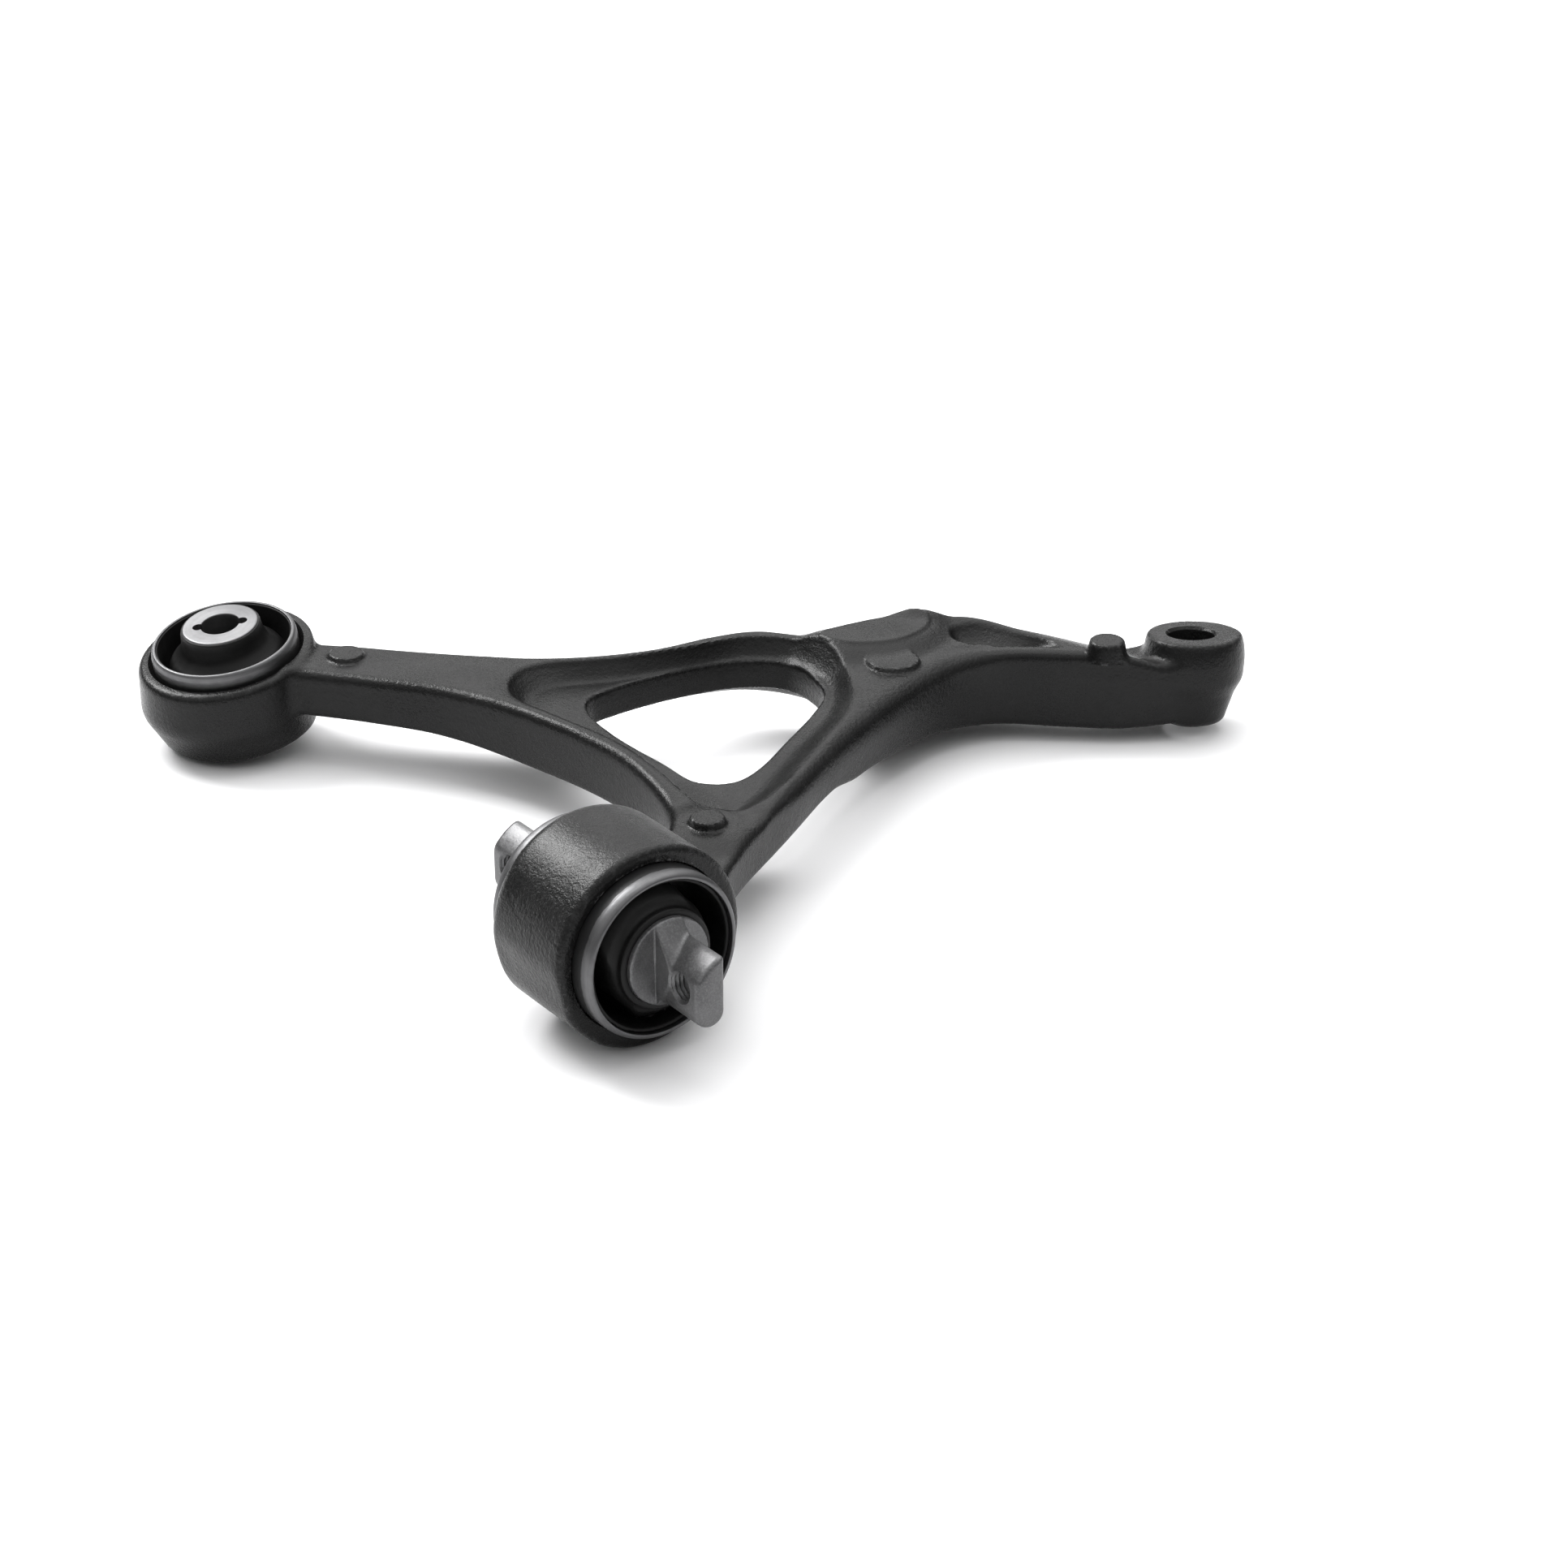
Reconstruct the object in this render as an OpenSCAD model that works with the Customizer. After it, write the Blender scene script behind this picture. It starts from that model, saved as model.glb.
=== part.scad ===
// Suspension control arm: one black-painted iron casting with a bar-pin bush at its front end,
// a plain core bush at its rear end and a bored boss for the ball joint's stem at its outer end.
// Millimetres. +Z is up as the arm lies on a bench, +X runs along the bar pin towards the front,
// +Y runs outboard to the ball joint. The origin is the middle of the bar pin, on its axis.

/* [Arm casting] */
// Level of the arm's top rims
rim_z = 2; // [0:0.5:5]
// Underside of the rear limb
limb_bottom_z = -22; // [-28:1:-16]
// Underside beside the ball boss
boss_end_bottom_z = -34; // [-38:1:-28]
// Depth of the dished recess around the window
dish_depth = 6; // [2:0.5:8]
// Underside of the thinner web around the window
web_bottom_z = -19.5; // [-22:0.5:-15]
// Top of the raised pad on the outer hump
hump_pad_z = 7; // [3:0.5:10]
// Height of the round pads above the rim
pad_rise = 2.5; // [1:0.5:4]

/* [Front bush] */
// Outer radius of the front housing
front_housing_r = 39.6; // [36:0.1:42]
// How far the housing's middle sits below its bore
housing_drop = 1.2; // [0:0.1:2]
// Length of the front housing
front_housing_len = 46.5; // [42:0.5:60]
// Reach of the front housing ahead of the bush's middle
housing_reach = 22; // [18:0.5:30]
// Distance of the housing's upper flat from the bush axis
housing_flat_at = 37.9; // [35:0.1:39]
// Angle of the housing's upper flat, below straight inboard, in degrees
housing_flat_deg = 12; // [0:1:30]
// Middle of the front bush along the bar pin
front_bush_x = 6; // [0:1:10]
// Outer radius of the front sleeve, a press fit in the housing
front_sleeve_r = 32.5; // [30:0.5:34]
// Wall of the front sleeve
front_sleeve_wall = 2.5; // [1.5:0.5:4]
// Length of the front sleeve
front_sleeve_len = 64; // [55:1:70]
// How far the pin's flattened ends sit below the middle of its round body and sleeve
pin_sag = 2; // [0:0.5:4]
// Radius of the bar pin's round body
pin_body_r = 17; // [14:0.1:20]
// Length of the bar pin's round body
pin_body_len = 71; // [50:1:80]
// Thickness of the flattened bar, across its flats
bar_t = 12.4; // [10:0.1:16]
// Height of the flattened bar
bar_h = 27; // [20:0.5:30]
// Overall length of the bar pin
bar_len = 134; // [120:1:150]
// Distance between the two threaded holes
bolt_pitch = 112; // [90:1:140]
// Radius of the threaded holes, M12
bolt_r = 6; // [4:0.5:8]
// Half the angle each rubber void spans
void_half_deg = 38; // [20:1:50]
// Turn of the voids from straight outboard, in degrees
void_turn_deg = 25; // [0:1:45]

/* [Rear bush] */
// Middle of the rear bush along X
rear_x = -290; // [-310:1:-270]
// Middle of the rear bush along Y
rear_y = 4.5; // [-10:0.5:20]
// Middle of the rear bush in height
rear_z = -10; // [-20:0.5:5]
// Lean of the rear bush axis inboard, in degrees
rear_lean_in = 9.7; // [0:0.1:15]
// Lean of the rear bush axis forwards, in degrees
rear_lean_fwd = 2.4; // [0:0.1:6]
// Outer radius of the rear housing
rear_housing_r = 37; // [34:0.5:40]
// Radius of the rear housing at its machined foot
rear_foot_r = 33.5; // [32.5:0.5:38]
// Outer radius of the rear sleeve, a press fit in the housing
rear_sleeve_r = 31; // [29:0.5:33]
// Wall of the rear sleeve
rear_sleeve_wall = 2.3; // [1.5:0.1:4]
// Radius of the rear core
core_r = 16; // [12:0.5:20]
// Length of the rear core
core_len = 50; // [44:1:56]
// Radius of the rear core's bolt hole
core_bore_r = 8.1; // [6:0.1:10]
// Radius of the two notches beside the bolt hole
notch_r = 2; // [1:0.25:3]

/* [Ball boss] */
// Middle of the boss face along X
ball_x = -62; // [-80:1:-40]
// Middle of the boss face along Y
ball_y = 344; // [320:1:370]
// Height of the boss face
ball_z = 1; // [-5:0.5:6]
// Lean of the boss axis outboard, in degrees
ball_lean_out = 4.3; // [0:0.1:8]
// Lean of the boss axis rearwards, in degrees
ball_lean_back = 6.5; // [0:0.1:10]
// Radius of the boss face
ball_face_r = 20; // [17:0.5:24]
// Depth of the boss
ball_depth = 38.5; // [30:0.5:42]
// Radius of the ball joint bore
ball_bore_r = 9.8; // [8:0.1:12]
// Offset of the bore from the middle of the face, towards the arm
ball_bore_offset = 1.5; // [0:0.1:3]
// Chamfer at each end of the bore
ball_chamfer = 1; // [0.5:0.25:2]

/* [Hidden] */
$fn = 64;
soft_gap = 0.3;
front_bore_r = front_sleeve_r;
front_in_r = front_sleeve_r - front_sleeve_wall;
front_face_x = front_bush_x + housing_reach;
front_back_x = front_face_x - front_housing_len;
rear_in_r = rear_sleeve_r - rear_sleeve_wall;
rear_sleeve_top = 18;
rear_sleeve_bottom = -21;
rear_housing_top = 12;
rear_housing_bottom = -23;
limb_mid_z = (rim_z + limb_bottom_z)/2;

// Stations around the arm seen from above, outer edge of the rim, anticlockwise from the rear bush.
outline = [
  [-262, 8], [-250, 17], [-228, 34], [-198, 55], [-160, 69], [-112, 77], [-70, 73], [-44, 58],
  [-20, 30], [-16, 4], [8, 0], [24, 10], [23, 32], [2, 52], [-14, 72], [-32, 102], [-58, 143],
  [-79, 184], [-93, 219], [-98, 244], [-93, 266], [-76, 288], [-60, 308], [-50, 330], [-62, 352],
  [-82, 340], [-90, 316], [-105, 297], [-128, 279], [-143, 258], [-149, 232], [-156, 213],
  [-175, 196], [-182, 176], [-186, 148], [-198, 119], [-216, 94], [-241, 69], [-265, 47],
  [-284, 26], [-290, 8]
];
// Stations around the triangular window.
window = [
  [-160, 100], [-172, 108], [-175, 124], [-174, 150], [-168, 177], [-156, 193], [-140, 196],
  [-122, 188], [-108, 171], [-92, 150], [-78, 126], [-75, 110], [-84, 99], [-104, 98], [-134, 97]
];
// Stations around the dished recess that surrounds the window.
dish = [
  [-180, 74], [-198, 86], [-200, 104], [-187, 130], [-178, 160], [-172, 186], [-158, 202],
  [-138, 207], [-116, 201], [-95, 182], [-72, 153], [-53, 121], [-41, 95], [-52, 82], [-84, 84],
  [-120, 84], [-154, 78]
];
// Stations around the raised pad on the outer hump.
hump_pad = [[-148, 206], [-136, 208], [-126, 217], [-121, 232], [-126, 249], [-136, 257], [-145, 248], [-148, 228]];
// Stations around the long channel between the hump and the ball boss.
channel = [
  [-128, 264], [-119, 257], [-109, 260], [-101, 268], [-92, 280], [-83, 290], [-92, 291], [-108, 285],
  [-123, 277]
];
// Stations around the recess under the web.
under = [
  [-186, 80], [-206, 92], [-196, 122], [-184, 154], [-176, 188], [-158, 206], [-134, 208],
  [-112, 196], [-92, 174], [-68, 140], [-48, 106], [-58, 88], [-110, 84], [-150, 82]
];
// Height profile of the casting against Y: top edge, then bottom edge.
side_top = [
  [-60, rim_z], [150, rim_z], [250, rim_z], [290, rim_z - 1], [304, rim_z - 1.5], [334, rim_z - 10],
  [380, rim_z - 11]
];
side_bottom = [
  [380, boss_end_bottom_z + 1], [300, boss_end_bottom_z], [270, boss_end_bottom_z + 2],
  [240, boss_end_bottom_z + 4.5], [205, boss_end_bottom_z + 8], [180, limb_bottom_z - 2],
  [140, limb_bottom_z - 0.5], [60, limb_bottom_z], [-60, limb_bottom_z]
];

// One coordinate of a smooth curve through b and c, with a and d as its neighbours.
function blend(a, b, c, d, t) =
  0.5*(2*b + (c - a)*t + (2*a - 5*b + 4*c - d)*t*t + (3*b - a - 3*c + d)*t*t*t);
// A smooth closed loop through stations p, with k steps between each two.
function loop(p, k) = let(n = len(p)) [for (i = [0:n-1]) for (j = [0:k-1])
  blend(p[(i + n - 1)%n], p[i], p[(i + 1)%n], p[(i + 2)%n], j/k)];

// Raises the casting, its bushes and the pin's round body over the pin's holes, which are at height 0.
module over_pin() translate([0, 0, pin_sag]) children();
// Places its children in the rear bush's own frame, its middle at the origin and its axis on Z.
module at_rear() translate([rear_x, rear_y, rear_z]) rotate([rear_lean_in, rear_lean_fwd, 0]) children();
// Places its children in the boss frame: the face at Z 0 and the boss below it.
module at_ball() translate([ball_x, ball_y, ball_z]) rotate([-ball_lean_out, -ball_lean_back, 0]) children();
// Places its children along the bar pin, their Z axis on +X.
module along_pin(x) translate([x, 0, 0]) rotate([0, 90, 0]) children();

module slab(points, z0, z1) translate([0, 0, z0]) linear_extrude(z1 - z0) polygon(loop(points, 3));

module limbs() {
  intersection() {
    slab(outline, -60, 40);
    translate([40, 0, 0]) rotate([90, 0, -90]) linear_extrude(400)
      polygon([for (p = concat(side_top, side_bottom)) [-p[0], p[1]]]);
  }
}

// Housing of the front bush, with two flats along its lower inboard side.
module front_housing() {
  difference() {
    translate([0, 1, -housing_drop]) along_pin(front_back_x) rotate_extrude() polygon([
      [0, 0], [front_housing_r - 4, 0], [front_housing_r, 5], [front_housing_r, front_housing_len - 2],
      [front_housing_r - 2, front_housing_len], [0, front_housing_len]
    ]);
    for (flat = [[housing_flat_deg, housing_flat_at], [housing_flat_deg + 34, housing_flat_at + 1.5]])
      rotate([flat[0], 0, 0]) translate([-60, -60 - flat[1], -60]) cube([160, 60, 120]);
  }
}

// Upright cast drum, its top ring and tapered foot turned about the leaned axis of the bush.
module rear_housing() {
  intersection() {
    at_rear() rotate_extrude() polygon([
      [0, rear_housing_bottom], [rear_foot_r, rear_housing_bottom], [rear_foot_r + 8, rear_housing_bottom + 18.6],
      [rear_foot_r + 8, rear_housing_top - 6.5], [rear_housing_r - 2, rear_housing_top], [0, rear_housing_top]
    ]);
    translate([rear_x + 0.5, rear_y - 2, -60]) cylinder(r = rear_housing_r, h = 100);
  }
}

module ball_boss() {
  at_ball() rotate_extrude() polygon([
    [0, 0], [ball_face_r, 0], [ball_face_r + 1.6, -9], [ball_face_r + 1.5, -14], [ball_face_r + 0.5, -19],
    [ball_face_r - 2.4, -24.5], [ball_face_r - 4.4, -30.5], [ball_face_r - 6.5, -ball_depth + 2],
    [ball_face_r - 8.5, -ball_depth], [0, -ball_depth]
  ]);
}

// Round pads, the hump's pad and the stud beside the boss.
module pads() {
  translate([-252, 39, limb_mid_z]) cylinder(r = 7.5, h = rim_z + pad_rise - limb_mid_z);
  translate([-37, 72, limb_mid_z]) cylinder(r = 7, h = rim_z + pad_rise - limb_mid_z);
  translate([-112, 220, limb_mid_z]) cylinder(r = 11, h = rim_z + pad_rise - limb_mid_z - 1);
  translate([-70.5, 302, limb_mid_z]) cylinder(r1 = 12, r2 = 7.5, h = rim_z + 4 - limb_mid_z);
  slab(hump_pad, limb_mid_z, hump_pad_z);
}

module arm_casting() {
  color("#1d1d1f") over_pin() difference() {
    union() {
      limbs();
      front_housing();
      rear_housing();
      ball_boss();
      pads();
    }
    slab(window, -60, 40);
    slab(dish, rim_z - dish_depth, rim_z + 0.1);
    slab(under, -60, web_bottom_z);
    slab(channel, -6, 40);
    along_pin(front_back_x - 10) cylinder(r = front_bore_r, h = front_housing_len + 20);
    along_pin(front_face_x - 0.8) cylinder(r1 = front_bore_r, r2 = front_bore_r + 1, h = 1);
    at_rear() translate([0, 0, rear_housing_bottom - 1]) cylinder(r = rear_sleeve_r, h = 60);
    at_rear() translate([0, 0, rear_housing_top - 1.5]) cylinder(r1 = rear_sleeve_r, r2 = rear_sleeve_r + 2, h = 2);
    at_ball() translate([-ball_bore_offset*0.6, -ball_bore_offset*0.8, 0]) {
      translate([0, 0, -ball_depth - 1]) cylinder(r = ball_bore_r, h = ball_depth + 2);
      translate([0, 0, -ball_chamfer]) cylinder(r1 = ball_bore_r, r2 = ball_bore_r + 1.2, h = 1.2*ball_chamfer);
      translate([0, 0, -ball_depth - 0.2*ball_chamfer])
        cylinder(r1 = ball_bore_r + 1.2, r2 = ball_bore_r, h = 1.2*ball_chamfer);
    }
  }
}

module front_bush_outer_sleeve() {
  color("#b8babd") over_pin() along_pin(front_bush_x - front_sleeve_len/2) rotate_extrude() polygon([
    [front_in_r + 0.8, 0], [front_sleeve_r - 0.6, 0], [front_sleeve_r, 1.2],
    [front_sleeve_r, front_sleeve_len - 1.2], [front_sleeve_r - 0.6, front_sleeve_len],
    [front_in_r + 0.8, front_sleeve_len], [front_in_r, front_sleeve_len - 0.8], [front_in_r, 0.8]
  ]);
}

// Lining of the sleeve, two webs above and below the pin's body, and a void on either side of it.
module front_bush_rubber() {
  neck_r = pin_body_r + 3.5;
  inner_r = pin_body_r + soft_gap;
  len = front_sleeve_len;
  color("#111112") over_pin() difference() {
    along_pin(front_bush_x - len/2) rotate_extrude() polygon([
      [front_in_r, 2], [front_in_r, len - 2], [front_in_r - 1.5, len - 3], [front_in_r - 2, len - 9],
      [neck_r + 1.5, len - 4], [inner_r, len - 6], [inner_r, 6], [neck_r + 1.5, 4],
      [front_in_r - 2, 9], [front_in_r - 1.5, 3]
    ]);
    for (side = [90, 270]) along_pin(front_bush_x - len/2 - 1) rotate(side + void_turn_deg)
      linear_extrude(len + 2) difference() {
        circle(r = front_in_r - 2.5);
        circle(r = neck_r);
        rotate(void_half_deg) translate([-100, 0]) square([200, 200]);
        rotate(-void_half_deg) translate([-100, -200]) square([200, 200]);
      }
  }
}

// Section of the flattened bar, seen along the pin: round below, with one sloping facet on top.
module bar_section() {
  hull() {
    translate([bar_h/2 - bar_t/2, 0]) circle(r = bar_t/2);
    translate([1.5 - bar_h/2, bar_t/2 - 2]) circle(r = 1.5);
    translate([bar_h/2 - 18.5, 1.5 - bar_t/2]) circle(r = 1.5);
    translate([1.5 - bar_h/2 + 6, bar_t/2 - 1.5]) circle(r = 1.5);
  }
}

module front_bush_bar_pin() {
  color("#8d8f92") difference() {
    union() {
      along_pin(-bar_len/2) linear_extrude(bar_len) bar_section();
      over_pin() along_pin(front_bush_x - pin_body_len/2) rotate_extrude() polygon([
        [0, 0], [pin_body_r - 0.6, 0], [pin_body_r, 0.6], [pin_body_r, pin_body_len - 0.6],
        [pin_body_r - 0.6, pin_body_len], [0, pin_body_len]
      ]);
    }
    for (s = [-1, 1]) translate([s*bolt_pitch/2, 0, 0]) rotate([90, 0, 0]) {
      cylinder(r = bolt_r, h = 60, center = true);
      for (m = [0, 1]) mirror([0, 0, m]) translate([0, 0, bar_t/2 - 1])
        cylinder(r1 = bolt_r, r2 = bolt_r + 1.2, h = 1.2);
    }
  }
}

module rear_bush_outer_sleeve() {
  color("#b8babd") over_pin() at_rear() rotate_extrude() polygon([
    [rear_in_r + 0.8, rear_sleeve_bottom], [rear_sleeve_r - 0.6, rear_sleeve_bottom],
    [rear_sleeve_r, rear_sleeve_bottom + 1.2], [rear_sleeve_r, rear_sleeve_top - 1.2],
    [rear_sleeve_r - 0.6, rear_sleeve_top], [rear_in_r + 0.8, rear_sleeve_top],
    [rear_in_r, rear_sleeve_top - 0.8], [rear_in_r, rear_sleeve_bottom + 0.8]
  ]);
}

// Lining of the sleeve, a dished groove at each end and a thick neck around the core.
module rear_bush_rubber() {
  inner_r = core_r + soft_gap;
  color("#111112") over_pin() at_rear() rotate_extrude() polygon([
    [inner_r, core_len/2 - 2], [inner_r + 1.2, core_len/2 - 3], [inner_r + 3, 16], [inner_r + 5.5, 9],
    [rear_in_r - 3.5, 8], [rear_in_r - 2.5, 14], [rear_in_r - 1.5, rear_sleeve_top - 1.5],
    [rear_in_r, rear_sleeve_top - 1.5], [rear_in_r, rear_sleeve_bottom + 1.5],
    [rear_in_r - 1.5, rear_sleeve_bottom + 1.5], [rear_in_r - 2.5, -16], [rear_in_r - 3.5, -10],
    [inner_r + 5.5, -11], [inner_r + 3, -17], [inner_r + 1.2, 3 - core_len/2], [inner_r, 2 - core_len/2]
  ]);
}

module rear_bush_core() {
  color("#c9cbcd") over_pin() at_rear() difference() {
    rotate_extrude() polygon([
      [0, -core_len/2], [core_r - 0.8, -core_len/2], [core_r, 0.8 - core_len/2],
      [core_r, core_len/2 - 0.8], [core_r - 0.8, core_len/2], [0, core_len/2]
    ]);
    cylinder(r = core_bore_r, h = core_len + 2, center = true);
    for (s = [-1, 1]) rotate(60) translate([s*(core_bore_r + 1.2), 0, core_len/2 - 8])
      cylinder(r = notch_r, h = 9);
  }
}

arm_casting();
front_bush_outer_sleeve();
front_bush_rubber();
front_bush_bar_pin();
rear_bush_outer_sleeve();
rear_bush_rubber();
rear_bush_core();
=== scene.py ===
"""Visual model of a cast suspension control arm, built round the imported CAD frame.

The casting, the rubber and the bar pin are sculpted as smooth signed fields in millimetres and turned
into meshes; turned parts are revolved profiles. Everything is in the row frame: origin at the middle of
the bar pin, +X along it to the front, +Y outboard to the ball boss, +Z up.
"""

import math

import bmesh
import bpy
import numpy as np
import openvdb as vdb
from mathutils import Matrix, Vector


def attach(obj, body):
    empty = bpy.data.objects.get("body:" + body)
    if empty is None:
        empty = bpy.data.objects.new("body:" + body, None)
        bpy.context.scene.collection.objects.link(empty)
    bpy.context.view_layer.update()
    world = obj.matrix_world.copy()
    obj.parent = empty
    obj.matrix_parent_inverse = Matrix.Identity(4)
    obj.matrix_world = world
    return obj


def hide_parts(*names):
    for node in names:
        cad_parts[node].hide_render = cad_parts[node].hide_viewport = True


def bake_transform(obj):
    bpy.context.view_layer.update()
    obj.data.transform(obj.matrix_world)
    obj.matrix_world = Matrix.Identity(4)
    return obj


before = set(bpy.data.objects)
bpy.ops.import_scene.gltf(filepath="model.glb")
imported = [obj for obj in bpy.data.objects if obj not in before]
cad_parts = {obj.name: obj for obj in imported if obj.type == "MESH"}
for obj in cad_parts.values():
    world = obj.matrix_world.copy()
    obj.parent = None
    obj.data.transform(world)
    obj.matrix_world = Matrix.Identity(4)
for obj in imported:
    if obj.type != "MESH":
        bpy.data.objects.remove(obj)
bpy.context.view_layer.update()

MM = 0.001

# ---------------------------------------------------------------- sizes, in mm
FLOOR_Z = -39.1  # just under the casting's lowest point
SAG = 2.0  # the sleeves, the casting and the pin's round body sit this far above the pin's flattened ends
RIM_Z, WEB_TOP_Z, WEB_BOTTOM_Z = 2.0, -6.0, -19.5

# front housing and sleeve; a flat has its angle below the inboard side, and its distance from the bore's axis
FRONT_BUSH_X = 6.0
FRONT_HOUSING_R, FRONT_BACK_X, FRONT_FACE_X = 39.6, -18.5, 28.0
FRONT_HOUSING_LEN = FRONT_FACE_X - FRONT_BACK_X
HOUSING_Y, HOUSING_DROP = 1.0, 1.2
HOUSING_FLATS = ((12.0, 37.9), (46.0, 39.4))
FRONT_SLEEVE_R, FRONT_SLEEVE_IN_R, FRONT_SLEEVE_LEN = 32.5, 30.0, 64.0
FRONT_MOUTH = 0.7

# front rubber
LINING_R, LINING_HALF = 29.3, 0.9
VOID_R, VOID_HALF, VOID_LEAN_DEG = 24.1, 4.1, 25
WEB_CREST_R = 22.5
COLLAR_R = 19.4

# bar pin; the facet is a broad arc across the top of each flattened end
PIN_BODY_R, PIN_BODY_LEN = 17.0, 71.0
BAR_T, BAR_H, BAR_LEN = 12.4, 27.0, 134.0
FACET_C, FACET_R = (15.1, -10.4), 26.0
BOLT_PITCH, BOLT_R = 112.0, 6.0
THREAD_PITCH, THREAD_DEPTH = 1.75, 0.95

# rear bush and its housing
REAR_C, REAR_LEAN = (-290.0, 4.5, -8.0), (9.7, 2.4)
REAR_HOUSING_R, REAR_HOUSING_SHIFT = 37.0, (0.5, -2.0)
REAR_HOUSING_TOP, REAR_HOUSING_BOTTOM = 12.0, -23.0
REAR_FOOT_R, REAR_FOOT_TAPER = 33.5, 0.43
REAR_SLEEVE_R, REAR_SLEEVE_IN_R = 31.0, 28.7
REAR_SLEEVE_TOP, REAR_SLEEVE_BOTTOM = 18.0, -21.0
REAR_RUBBER_R = REAR_SLEEVE_IN_R - 0.02
CORE_R, CORE_LEN, CORE_BORE_R = 16.0, 50.0, 8.1
NOTCH_R, NOTCH_DEPTH, NOTCH_DEG = 2.4, 8.0, 60

# ball boss, with its radius against depth below its face
BALL_C, BALL_LEAN = (-62.0, 344.0, 3.0), (-4.3, -6.5)
BALL_DEPTH, BALL_BORE_R = 38.5, 9.8
BALL_BORE_AT = (-0.9, -1.2)
BOSS_DEPTHS = np.array([-6, 0, 3, 6, 10, 17, 19.2, 24.6, 30.5, 36.4, 38.5, 46], float)
BOSS_RADII = np.array([19.9, 20, 20.9, 21.4, 21.6, 21.1, 20.5, 17.6, 15.6, 13.6, 12.6, 10], float)

# round pads and the stud: X and Y of the middle, radius, height of the top
NEAR_PAD = (-37, 72, 6.8, 4.7)
PADS = ((-252, 39, 7.4, 4.7), NEAR_PAD, (-112, 220, 10.9, 4.2))
STUD = (-70.5, 302, 7.3, 6.0)

# how far the top skin rises or falls
BOSS_STEP, BOSS_FALL, NEAR_FALL = 1.0, 10.0, 3.0
NEAR_CREST, FAR_CREST = 3.2, 2.6
HUMP_RISE, HUMP_STEP, CHANNEL_DEPTH = 4.4, 0.9, 7.0

# the black band on the front sleeve's outer wall: radius, low and high end along the pin, in metres
DARK_SLEEVE_BAND = (0.0308, -0.0215, 0.0335)

# camera and light, in metres and degrees
CAMERA_AT, CAMERA_AZ, CAMERA_EL, LENS_MM = (0.9813, -0.6425, 0.6296), 53.6, 26.1, 83.85
VIEW_GAMMA = 0.82
LIT_POINT = (-0.13, 0.15, 0)

# ---------------------------------------------------------------- outlines in plan, in mm
OUTLINE = [
    (-262, 8), (-250, 17), (-228, 34), (-198, 55), (-160, 69), (-112, 77), (-70, 73), (-44, 58),
    (-20, 30), (-16, 4), (8, 0), (24, 10), (23, 32), (2, 52), (-14, 72), (-32, 102), (-58, 143),
    (-79, 184), (-93, 219), (-98, 244), (-93, 266), (-76, 288), (-60, 308), (-50, 330), (-62, 352),
    (-82, 340), (-90, 316), (-105, 297), (-128, 279), (-143, 258), (-149, 232), (-156, 213),
    (-175, 196), (-182, 176), (-186, 148), (-198, 119), (-216, 94), (-241, 69), (-265, 47),
    (-284, 26), (-290, 8),
]
WINDOW = [
    (-160, 100), (-172, 108), (-175, 124), (-174, 150), (-168, 177), (-156, 193), (-140, 196),
    (-120, 190), (-106, 173), (-92, 150), (-78, 126), (-74, 110), (-83, 99), (-104, 98), (-134, 97),
]
DISH = [
    (-180, 74), (-198, 86), (-200, 104), (-187, 130), (-178, 160), (-172, 186), (-158, 202),
    (-138, 207), (-116, 201), (-91, 185), (-68, 155), (-48, 121), (-38, 95), (-50, 82), (-84, 84),
    (-120, 84), (-154, 78),
]
DISH_FLOOR = [
    (-178, 84), (-154, 84), (-120, 89.5), (-84, 90), (-60, 90), (-55, 98), (-70, 123), (-87, 151.5),
    (-102, 176), (-118, 191.5), (-140, 197), (-157, 194), (-169, 178), (-175, 151), (-179, 128),
    (-188, 106), (-188, 92),
]
UNDER = [
    (-186, 80), (-206, 92), (-196, 122), (-184, 154), (-176, 188), (-158, 206), (-134, 208),
    (-112, 196), (-92, 174), (-68, 140), (-48, 106), (-58, 88), (-110, 84), (-150, 82),
]
HUMP = [
    (-147, 208), (-136, 208), (-126, 217), (-121, 232), (-126, 249), (-136, 257), (-145, 248),
    (-146, 229),
]
CHANNEL = [
    (-128, 264), (-119, 257), (-109, 260), (-101, 268), (-92, 280), (-83, 290), (-92, 291),
    (-108, 285), (-123, 277),
]
CHANNEL_FLOOR = [
    (-117, 261), (-110, 264.5), (-103, 272), (-95, 282), (-95.4, 282.3), (-103.4, 272.3), (-110.3, 264.9),
    (-117.2, 261.4),
]


# ---------------------------------------------------------------- fields
def smooth_loop(stations, steps):
    """A smooth closed curve through the stations, as an (n, 2) array with steps points a span."""
    p = np.asarray(stations, float)
    t = np.arange(steps)[:, None] / steps
    spans = []
    for i in range(len(p)):
        a, b, c, d = p[i - 1], p[i], p[(i + 1) % len(p)], p[(i + 2) % len(p)]
        spans.append(0.5 * (
            2 * b + (c - a) * t + (2 * a - 5 * b + 4 * c - d) * t**2 + (3 * b - a - 3 * c + d) * t**3))
    return np.vstack(spans)


def loop_distance(loop, x, y):
    """Signed distance from points to a closed loop, negative inside."""
    best = np.full(x.shape, 1e9)
    inside = np.zeros(x.shape, bool)
    for (ax, ay), (bx, by) in zip(loop, np.roll(loop, -1, 0)):
        ex, ey = bx - ax, by - ay
        wx, wy = x - ax, y - ay
        t = np.clip((wx * ex + wy * ey) / (ex * ex + ey * ey), 0, 1)
        best = np.minimum(best, (wx - ex * t) ** 2 + (wy - ey * t) ** 2)
        if ay != by:
            cross = (ay > y) != (by > y)
            inside ^= cross & (x < ex * (y - ay) / ey + ax)
    d = np.sqrt(best)
    return np.where(inside, -d, d)


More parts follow.
